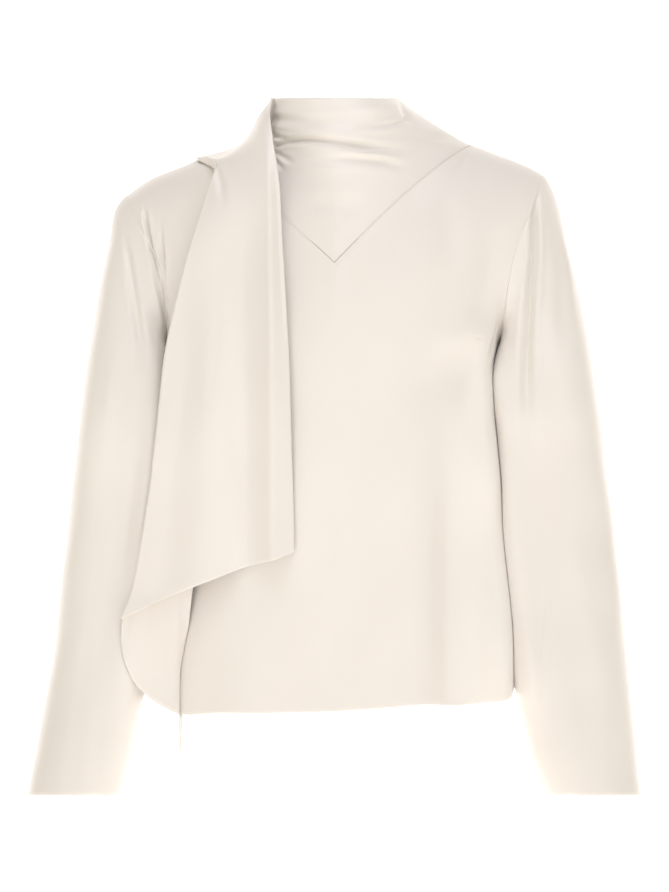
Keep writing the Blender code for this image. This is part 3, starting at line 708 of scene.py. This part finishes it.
def sleeve(table, side):
    """A sleeve's cloth, and the bridge over the hollow at its armhole."""
    turn = np.linspace(0, 2 * math.pi, SLEEVE_AROUND, endpoint=False)
    shoulder = shoulder_z(SHOULDER_X)
    z = shoulder + (ARMPIT_Z - shoulder) * (1 - np.cos(turn)) / 2
    x = read_curve(ARMHOLE, 1, z)
    y = np.where(turn <= math.pi, torso_y(x, z, True), torso_y(x, z, False))
    loop = leaned(np.c_[side * x, y, z])
    loop[:, 0] += side * SEAM_GAP

    top, end = table[0][0], table[-1][0]
    heights = np.linspace(top, end, ARM_STEPS + 1)
    inner, outer, centre_y, half_depth = (read_curve(table, c, heights) for c in (1, 2, 3, 4))
    snug = smoothstep((top - heights) / SNUG_IN)
    snug *= smoothstep((heights - end - SNUG_OUT[0]) / SNUG_OUT[1])
    inner = inner - (SNUG_LEFT if side > 0 else SNUG_RIGHT) * snug
    flat, rounded = section(turn, FLAT_CORNERS), section(turn, ROUND_CORNERS)
    down = (top - heights) / (top - end)
    towards_cuff = smoothstep(down * (1 + FLAT_SHARE) - FLAT_SHARE)[:, None, None]
    across, ahead = np.moveaxis(flat + (rounded - flat) * towards_cuff, -1, 0)
    tilt = blur(np.gradient(centre_y, heights), 6)
    tilt += (CUFF_TILT - tilt[-1]) * smoothstep((end + CUFF_REACH - heights) / CUFF_REACH)
    x = (inner + outer)[:, None] / 2 + (outer - inner)[:, None] / 2 * across
    forward = half_depth[:, None] * ahead
    z = heights[:, None] + tilt[:, None] * forward
    arm = np.stack([side * x, centre_y[:, None] - forward, z], axis=-1)

    out, ahead, up = (read_curve(CAP_LEAVES, c, turn / QUARTER) for c in (1, 2, 3))
    leave = np.c_[side * out, -ahead, up]
    way = arm[EDGE_ROWS] - arm[0]
    arrive = CAP_ARRIVES * (arm[0] - loop)[:, 2:] * (way / way[:, 2:])
    line, shares = np.linspace([0.0], [CAP_LENGTH], 100), np.linspace(0, 1, 100)
    cap_t = evenly(line, shares, CAP_STEPS, (True, False))
    cap = np.array([hermite(loop, leave, arm[0], arrive, t) for t in cap_t[:-1]])
    grid = np.concatenate([cap, arm])
    grid = grid + rising(len(grid), EDGE_ROWS, 16)[:, None, None] * (blur(grid, 4) - grid)
    faces = quads(*grid.shape[:2], ring=True)
    bridges = bridge(turn, grid, side)
    groove = np.zeros(grid.shape[:2])
    groove[0] = GROOVE
    grid[0] -= towards(grid[0], grid[EDGE_ROWS], LAP)
    cloth = grid.reshape(-1, 3), faces if side > 0 else faces[:, ::-1], groove.reshape(-1)
    return cloth, bridges


def section(turn, corners):
    """Places evenly along each quarter of a square with these rounded corners."""
    dense = np.linspace(0, QUARTER, 600)
    quarters = []
    for k, power in enumerate(corners):
        x, y = np.cos(dense) ** (2 / power), np.sin(dense) ** (2 / power)
        length = along(np.c_[x, y])
        share = length / length[-1]
        start = k * QUARTER
        here = turn[(turn >= start - 1e-9) & (turn < start + QUARTER - 1e-9)]
        part = (here - start) / QUARTER
        if k % 2:
            part = 1 - part
        x, y = np.interp(part, share, x), np.interp(part, share, y)
        quarters.append(np.c_[x if k in (0, 3) else -x, y if k < 2 else -y])
    return np.concatenate(quarters)


def bridge(turn, grid, side):
    """An armhole's seam, and how far the cloth beside it is moved to span the hollow there."""
    seam = grid[0].copy()
    depths = along(grid[:, len(turn) // 4])
    away = grid[np.searchsorted(depths, BRIDGE_SLEEVE_AT)] - seam
    p = 3 * np.abs(1 - turn / math.pi)
    panels = [upper_row(p, BRIDGE_PANEL_SHARE, front) for front in (True, False)]
    inside = leaned(np.where((turn <= math.pi)[:, None], *panels) * [side, 1, 1]) - seam
    step = BRIDGE_REACH * (unit(away) + unit(inside)) / 2
    step *= smoothstep(np.abs(1 - turn / math.pi) / BRIDGE_FADE)[:, None]
    return seam, blur(np.concatenate([step, step, step]), 5)[len(step) : 2 * len(step)]


def neck_seam(quarter):
    """The neckline: 0 is the V's point, 1 its left end, 2 the back's middle, 3 or -1 its right."""
    ahead = quarter <= 1
    x = NECK_X * np.where(ahead, quarter, 2 - quarter)
    z = np.where(ahead, neckline_z(x, True), neckline_z(x, False))
    y = np.where(ahead, torso_y(x, z, True), torso_y(x, z, False))
    return leaned(np.stack([x, y, z], axis=-1))


def collar_top(quarter):
    turn = quarter * QUARTER
    to_right, to_left = COLLAR_HALF_WIDTHS
    half_width = np.where(np.sin(turn) > 0, to_left, to_right)
    x, y = half_width * np.sin(turn), COLLAR_CENTRE_Y - COLLAR_HALF_DEPTH * np.cos(turn)
    return np.stack([x, y, 0 * x + COLLAR_TOP_Z], axis=-1)


def soft_size(value, ease=0.08):
    """The size of a share, eased where it crosses zero."""
    return (np.sqrt(value**2 + ease**2) - ease) / (math.sqrt(1 + ease**2) - ease)


def round_the_neck(table, quarter):
    """A way given for the right, front, left and back of the neck, read at each quarter."""
    right, front, left, back = np.array(table)
    ahead, leftward = np.cos(quarter * QUARTER), np.sin(quarter * QUARTER)
    between = np.where(ahead[:, None] > 0, front, back)
    aside = np.where(leftward[:, None] > 0, left, right)
    level = (front + back) / 2 * [0, 0, 1]
    across = soft_size(ahead)[:, None] * (between - level)
    return level + across + soft_size(leftward)[:, None] * (aside - level)


def drape_points(quarter, heights):
    """Places on the drape: a row for each height, from 0 at the neckline to 1 at its top."""
    foot, top = neck_seam(quarter), collar_top(quarter)
    reach = np.linalg.norm(top - foot, axis=1, keepdims=True)
    leave, arrive = (reach * round_the_neck(w, quarter) for w in (DRAPE_LEAVES, DRAPE_ARRIVES))
    return np.array([hermite(foot, leave, top, arrive, t) for t in heights])


def drape():
    quarter, dense = np.linspace(-1, 2, DRAPE_AROUND + 1), np.linspace(0, 1, 200)
    quarter = evenly(neck_seam(quarter), quarter, DRAPE_AROUND, (False, True))
    column = drape_points(np.array([DRAPE_SPACED_AT]), dense)[:, 0]
    heights = evenly(column, dense, DRAPE_STEPS, (True, False))
    grid = drape_points(quarter, heights)
    inset = np.clip(-np.sin(quarter * QUARTER), 0, 1)
    grid[:, :, 0] += COLLAR_RIGHT_INSET * inset[None, :] * np.sin(heights * math.pi)[:, None]
    faces = quads(*grid.shape[:2])
    normals = normals_of(grid.reshape(-1, 3), faces).reshape(grid.shape)
    to_right, to_left = DRAPE_FOLD_REACH
    fade = np.exp(-((quarter / np.where(quarter > 0, to_left, to_right)) ** 4))
    for at, depth, width, slant in DRAPE_FOLDS:
        away = (heights[:, None] - at - slant * quarter) / width
        grid += normals * (DRAPE_FOLD_SHARE * depth * fade * np.exp(-away * away))[:, :, None]
    grid[0] += towards(grid[0], grid[3], 2 * SEAM_GAP)
    grid[:, -1, 0] += SEAM_GAP / 2
    groove = np.zeros(grid.shape[:2])
    groove[:, -1] = FLAT_GROOVE
    groove[0] = GROOVE
    return grid.reshape(-1, 3), faces, groove.reshape(-1)


def scarf_round_neck(quarter):
    """The scarf's section on the collar, from its top edge down to the edge on the shoulder."""
    outer = 1 - (1 - SCARF_UNDER_SHARE) * SCARF_COLUMNS / SCARF_TURN
    under = SCARF_UNDER_SHARE * (1 - (SCARF_COLUMNS - SCARF_TURN) / (14 - SCARF_TURN))
    heights = np.where(SCARF_COLUMNS < SCARF_TURN, outer, under)
    places = drape_points(np.array([quarter]), heights)[:, 0]
    ends = drape_points(np.array([quarter - 0.01, quarter + 0.01]), [0.5])[0]
    out = unit(np.cross(np.gradient(places, axis=0), ends[1] - ends[0]))
    return places + out * SCARF_STAND_OFF * np.clip((quarter - 2) / 0.5, 0, 1)


def scarf_down(row):
    """The scarf's section down the front."""
    tables = SCARF_EDGE, SCARF_FOLD, SCARF_CREASE, SCARF_FREE
    edge, fold, crease, free = (table[row] for table in tables)
    bow, sag, belly = SCARF_CURVES[row]
    c = SCARF_COLUMNS
    turned = np.clip((crease[0] - fold[0]) / 0.01, -1, 1) * 0.5 + 0.5
    round_fold = turned * np.array([0, SCARF_FOLD_RADIUS, 0])
    share = c[c <= 8, None] / 8
    front = edge + (fold - round_fold - edge) * share - 4 * share * (1 - share) * [0, bow, sag]
    turn = (c[(c > 8) & (c < 10)] - 8) * QUARTER
    aside, back = -SCARF_FOLD_RADIUS * np.sin(turn), -round_fold[1] * np.cos(turn)
    bend = fold + np.c_[aside, back, 0 * turn]
    share = (c[(c >= 10) & (c <= 13), None] - 10) / 3
    start = fold + round_fold
    under = start + (crease - start) * share - 4 * share * (1 - share) * [belly, 0, belly / 2]
    share = c[c > 13, None] - 13
    return np.concatenate([front, bend, under, crease + (free - crease) * share])


def scarf():
    sections = [scarf_round_neck(q) for q in np.linspace(2, 3, 9)]
    sections = np.array(sections + [scarf_down(row) for row in range(len(SCARF_EDGE))])
    place = np.concatenate([np.linspace(0, 4, 9), 5.0 + np.arange(len(SCARF_EDGE))])
    middle = np.c_[place, sections[:, SCARF_MIDDLE]]
    dense = np.linspace(0, place[-1], 2000)
    line = np.column_stack([read_curve(middle, c, dense) for c in (1, 2, 3)])
    at = evenly(line, dense, SCARF_STEPS, (True, False))
    flat = np.c_[place, sections.reshape(len(sections), -1)]
    grid = np.column_stack([read_curve(flat, c, at) for c in range(1, flat.shape[1])])
    grid = grid.reshape(len(at), -1, 3)
    grid = grid + rising(len(grid), 0, 12)[:, None, None] * (blur(grid, 3) - grid)
    grid[0, :, 0] -= SEAM_GAP / 2
    on_back = at <= 2
    grid[on_back, -1] += towards(grid[on_back, -1], grid[on_back, -4], 2 * SEAM_GAP)
    groove = np.zeros(grid.shape[:2])
    groove[0] = FLAT_GROOVE
    groove[on_back, -1] = GROOVE
    return grid.reshape(-1, 3), quads(*grid.shape[:2]), groove.reshape(-1)


def line_on(path, points, normals):
    """A fold's path on the surface: places, ways across it, ways out of it, and its share."""
    length = along(path)
    dense = np.linspace(0, length[-1], max(16, int(length[-1] / FOLD_STEP)))
    flat = np.c_[length, path]
    x, z = read_curve(flat, 1, dense), read_curve(flat, 2, dense)
    seen = points[:, 0], points[:, 2]
    near = [int(np.argmin((seen[0] - a) ** 2 + (seen[1] - b) ** 2)) for a, b in zip(x, z)]
    steps = min(6, len(dense) / 8)
    line = np.c_[x, blur(points[near, 1], steps), z]
    out = unit(blur(normals[near], steps))
    across = unit(np.cross(np.gradient(line, axis=0), out))
    return line, across, out, dense / length[-1]


def fold_height(fold, points, normals, where):
    """How far one fold moves each point out of the cloth."""
    depth, right, left, width_in, width_out, fade_in, fade_out, path = fold
    path = np.cumsum(np.reshape(path, (-1, 2)), axis=0) * MM
    height = np.zeros(len(points))
    reach = 4 * max(width_in, width_out) * MM
    lo, hi = path.min(0) - reach - 0.01, path.max(0) + reach + 0.01
    flat = points[:, [0, 2]]
    chosen = np.flatnonzero(where & np.all((flat > lo) & (flat < hi), axis=1))
    facing = chosen[abs(normals[chosen, 1]) > 0.05]
    line, across, out, share = line_on(path, points[facing], normals[facing])
    way = unit(np.gradient(line, axis=0))
    for part in np.array_split(chosen, len(chosen) // PART + 1):
        gap = ((points[part, None] - line[None]) ** 2).sum(-1)
        near = gap.argmin(1)
        part, near = part[gap.min(1) < reach**2], near[gap.min(1) < reach**2]
        away = points[part] - line[near]
        width = (width_in + (width_out - width_in) * share[near]) * MM
        u = (away * across[near]).sum(-1) / width
        past = (away * way[near]).sum(-1) / width
        shape = depth * np.exp(-(u**2))
        shape += right * np.exp(-((u - RIDGE_AT) ** 2)) + left * np.exp(-((u + RIDGE_AT) ** 2))
        start = smoothstep(share[near] / fade_in) if fade_in else 1
        end = smoothstep((1 - share[near]) / fade_out) if fade_out else 1
        turned = np.clip(2 * (normals[part] * out[near]).sum(-1), 0, 1)
        height[part] = shape * start * end * turned * np.exp(-(past**2))
    return height * MM


def waviness(points, seed, amplitude):
    """A low, soft unevenness, the same each time for the same seed."""
    rng = np.random.default_rng(seed)
    total = np.zeros(len(points))
    for _ in range(9):
        way = rng.normal(size=3) * [1, 1, 0.6]
        pitch = WAVELENGTH * rng.uniform(0.75, 1.6)
        turn = points @ (way / np.linalg.norm(way)) * 2 * math.pi / pitch
        total += np.sin(turn + rng.uniform(0, 6.3))
    return amplitude * total / 3


def nearest(points, targets):
    """For each point, the number of the target that is nearest and how far away it is."""
    index, distance = [], []
    for part in np.array_split(points, len(points) // PART + 1):
        gap = ((part[:, None] - targets[None]) ** 2).sum(-1)
        index.append(gap.argmin(1))
        distance.append(np.sqrt(gap.min(1)))
    return np.concatenate(index), np.concatenate(distance)


def nudged(points, nudges, free):
    """The points moved a little, each nudge round its own place, as far as they are free."""
    for place, reach, step in nudges:
        away = (points - np.array(place) * MM) / (np.array(reach) * MM)
        points = points + (free * np.exp(-(away**2).sum(1)))[:, None] * np.array(step) * MM
    return points


def in_folds(name, cloth, bridges, folds, seed, foldable):
    """The piece's points with its nudges, folds, unevenness and the grooves at its seams."""
    points, faces, groove = cloth
    moved = points.copy()
    for seam, step in bridges:
        index, distance = nearest(points, seam)
        moved += step[index] * np.exp(-distance / BRIDGE_REACH)[:, None]
    sewn = np.flatnonzero(groove)
    seam, from_seam = nearest(points, points[sewn])
    points = nudged(moved, NUDGES.get(name, ()), 1 - np.exp(-((from_seam / NUDGE_CALM) ** 2)))
    normals = normals_of(points, faces)
    height = waviness(points, seed, WAVE.get(name, BODY_WAVE))
    for (way, past), table in folds:
        where = foldable & (way * normals[:, 1] > -past)
        for fold in table:
            height += fold_height(fold, points, normals, where)
    height *= 1 - np.exp(-((from_seam / SEAM_CALM) ** 2))
    height -= groove[sewn][seam] * np.exp(-((from_seam / GROOVE_REACH) ** 2))
    return points + normals * height[:, None]


def kept_off(points, others, margin, loose):
    """The points, with the loose ones that would touch another surface moved out of it."""
    corners, faces = (part.tolist() for part in others)
    tree = BVHTree.FromPolygons(corners, faces)
    moved = points.copy()
    for i in np.flatnonzero(loose):
        point = Vector(points[i])
        place, normal, _, _ = tree.find_nearest(point, TOUCH_REACH)
        if place is not None:
            away = point - place
            gap = away.dot(normal)
            if -DEEPEST_TOUCH < gap < margin and (away - gap * normal).length < 0.0005:
                moved[i] += np.array(normal) * (margin - gap)
    return moved


def placed(name, data):
    thing = bpy.data.objects.new(name, data)
    bpy.context.scene.collection.objects.link(thing)
    return thing


def aimed(name, data, place, target):
    thing = placed(name, data)
    thing.location = place
    thing.rotation_euler = (Vector(target) - Vector(place)).to_track_quat("-Z", "Y").to_euler()
    return thing


def cloth_piece(name, points, faces, groove, materials, centred=False):
    """One thin closed shell of cloth with rounded free edges."""
    normals = normals_of(points, faces)
    outer = points + normals * CLOTH / 2 if centred else points
    inner = outer - normals * CLOTH
    count = len(points)
    a, b = faces.reshape(-1), np.roll(faces, -1, axis=1).reshape(-1)
    is_open = ~np.isin(a * count + b, b * count + a)
    a, b = a[is_open], b[is_open]
    way = points[b] - points[a]
    outward = np.zeros_like(points)
    for end in (a, b):
        np.add.at(outward, end, np.cross(way, normals[end]))
    rim = np.unique(a)
    push = np.where(groove[rim] > 0, 0, CLOTH / 2)[:, None]
    middle = (outer[rim] + inner[rim]) / 2 + unit(outward[rim]) * push
    slot = np.zeros(count, dtype=int)
    slot[rim] = 2 * count + np.arange(len(rim))
    upper = np.c_[b, a, slot[a], slot[b]]
    lower = np.c_[slot[b], slot[a], a + count, b + count]
    every = np.concatenate([faces, faces[:, ::-1] + count, upper, lower])
    mesh = bpy.data.meshes.new(name)
    mesh.from_pydata(np.concatenate([outer, inner, middle]).tolist(), [], every.tolist())
    mesh.shade_smooth()
    for material in materials:
        mesh.materials.append(material)
    side = np.zeros(len(every), dtype=np.int32)
    side[len(faces) : 2 * len(faces)] = len(materials) - 1
    mesh.polygons.foreach_set("material_index", side)
    piece = placed(name, mesh)
    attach(piece, "root")
    return piece


def set_inputs(node, values):
    for name, value in values.items():
        node.inputs[name].default_value = value


def new_material(name):
    """A material, its node tree and its shader."""
    material = bpy.data.materials.new(name)
    material.use_nodes = True
    return material, material.node_tree, material.node_tree.nodes["Principled BSDF"]


def noise(tree, stretch, scale, detail=2.0):
    """A noise texture over the object's own coordinates, stretched along each axis."""
    coordinates = tree.nodes.new("ShaderNodeTexCoord")
    mapping = tree.nodes.new("ShaderNodeMapping")
    texture = tree.nodes.new("ShaderNodeTexNoise")
    set_inputs(mapping, {"Scale": stretch})
    set_inputs(texture, {"Scale": scale, "Detail": detail})
    tree.links.new(coordinates.outputs["Object"], mapping.inputs["Vector"])
    tree.links.new(mapping.outputs["Vector"], texture.inputs["Vector"])
    return texture.outputs["Fac"]


def ranged(tree, value, low, high):
    """A noise's middle values spread from low to high."""
    spread = tree.nodes.new("ShaderNodeMapRange")
    set_inputs(spread, {"From Min": 0.3, "From Max": 0.7, "To Min": low, "To Max": high})
    tree.links.new(value, spread.inputs["Value"])
    return spread.outputs["Result"]


def satin(name, light, deep, roughness, sheen):
    """Woven satin: two near shades, a gloss that varies softly, and the fine lines of floats."""
    material, tree, shader = new_material(name)
    mix = tree.nodes.new("ShaderNodeMix")
    mix.data_type = "RGBA"
    set_inputs(mix, {"A": (*deep, 1), "B": (*light, 1)})
    shade = noise(tree, (1, 1, 0.5), 9.0)
    tree.links.new(ranged(tree, shade, 0, 1), mix.inputs["Factor"])
    tree.links.new(mix.outputs["Result"], shader.inputs["Base Color"])
    gloss = ranged(tree, noise(tree, (1, 1, 0.3), 60.0), roughness - 0.03, roughness + 0.03)
    tree.links.new(gloss, shader.inputs["Roughness"])
    total = tree.nodes.new("ShaderNodeMath")
    total.operation = "MULTIPLY_ADD"
    slub, floats = noise(tree, (1, 1, 0.1), 420.0, 1.0), noise(tree, (1, 1, 0.06), 2600.0, 1.0)
    tree.links.new(slub, total.inputs[0])
    set_inputs(total, {1: 0.6})
    tree.links.new(floats, total.inputs[2])
    bump = tree.nodes.new("ShaderNodeBump")
    set_inputs(bump, {"Strength": 0.1, "Distance": 0.0001})
    tree.links.new(total.outputs["Value"], bump.inputs["Height"])
    tree.links.new(bump.outputs["Normal"], shader.inputs["Normal"])
    set_inputs(shader, {"Sheen Weight": sheen, "Sheen Roughness": 0.4})
    return material


def white_stage():
    """A floor that curves up behind into a wall, all of one plain white."""
    turn = np.linspace(0, QUARTER, 24)
    bend = [(3.0 + 2 * math.sin(a), 2 - 2 * math.cos(a)) for a in turn]
    curve = [(-8.0, 0.0)] + bend + [(5.0, 9.0)]
    points = [(x, y, FLOOR_Z + z) for y, z in curve for x in (-9.0, 9.0)]
    faces = [(2 * i, 2 * i + 1, 2 * i + 3, 2 * i + 2) for i in range(len(curve) - 1)]
    mesh = bpy.data.meshes.new("floor")
    mesh.from_pydata(points, [], faces)
    mesh.shade_smooth()
    material, _, shader = new_material("floor_white")
    set_inputs(shader, {"Base Color": (0.9, 0.9, 0.9, 1), "Roughness": 0.9})
    set_inputs(shader, {"Emission Color": (1.0, 0.96, 0.91, 1), "Emission Strength": FLOOR_GLOW})
    mesh.materials.append(material)
    floor = placed("floor", mesh)


def studio():
    white_stage()
    for name, place, size, watts, colour in LIGHTS:
        light = bpy.data.lights.new(name, "AREA")
        light.shape, light.size = "DISK", size
        light.energy, light.color = watts, colour
        aimed(name, light, place, MIDDLE)
    world = bpy.data.worlds.new("studio")
    world.use_nodes = True
    background = world.node_tree.nodes["Background"]
    set_inputs(background, {"Color": (*WORLD_COLOUR, 1), "Strength": WORLD_STRENGTH})
    bpy.context.scene.world = world
    bpy.context.scene.view_settings.view_transform = "Standard"
    data = bpy.data.cameras.new("camera")
    data.sensor_width = 36.0
    data.lens = LENS
    bpy.context.scene.camera = aimed("camera", data, CAMERA, AIM)


def main():
    ivory, wrong_side = (satin(*row) for row in SATINS)
    left_sleeve, left_bridge = sleeve(SLEEVE_LEFT, 1)
    right_sleeve, right_bridge = sleeve(SLEEVE_RIGHT, -1)
    both = [left_bridge, right_bridge]
    scarf_cloth = scarf()
    columns = np.tile(SCARF_COLUMNS, len(scarf_cloth[0]) // len(SCARF_COLUMNS))
    made = {}
    for name, node, cloth, bridges, folds, seed in (
        ("front", "front_panel", torso(True), both, [(FRONT, FRONT_FOLDS)], 3),
        ("back", "back_panel", torso(False), both, [(BACK, BACK_FOLDS)], 4),
        ("left_sleeve", "sleeve_left", left_sleeve, [left_bridge],
         [(FRONT, LEFT_SLEEVE_FOLDS), (BACK, LEFT_SLEEVE_BACK_FOLDS)], 5),
        ("right_sleeve", "sleeve_right", right_sleeve, [right_bridge],
         [(FRONT, RIGHT_SLEEVE_FOLDS), (BACK, RIGHT_SLEEVE_BACK_FOLDS)], 6),
        ("collar_drape", "neck_drape", drape(), [],
         [(FRONT, DRAPE_FRONT_FOLDS), (BACK, DRAPE_BACK_FOLDS)], 7),
        ("scarf", "scarf_tail", scarf_cloth, [],
         [(FRONT, SCARF_FRONT_FOLDS), (SCARF_BACK, SCARF_BACK_FOLDS)], 8),
    ):
        _, faces, groove = cloth
        foldable = columns < SCARF_TURN if name == "scarf" else True
        points = in_folds(name, cloth, bridges, folds, seed, foldable)
        if name == "scarf":
            for other in ("front", "collar_drape", "right_sleeve"):
                points = kept_off(points, made[other], SCARF_OFF_OTHERS, columns >= 0)
        if "sleeve" in name:
            loose = nearest(points, points[groove > 0])[1] > SEWN_REACH
            for other in ("front", "back"):
                points = kept_off(points, made[other], SLEEVE_OFF_BODY, loose)
        made[name] = points, faces
        sides = [ivory] if name == "scarf" else [ivory, wrong_side]
        piece = cloth_piece(name, points, faces, groove, sides, centred=name == "scarf")
        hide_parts(node)
        SHEETS[name](piece)
    studio()


SHEETS = {
    "front": lambda piece: piece,
    "back": lambda piece: piece,
    "left_sleeve": lambda piece: piece,
    "right_sleeve": lambda piece: piece,
    "collar_drape": lambda piece: piece,
    "scarf": lambda piece: piece,
}

main()
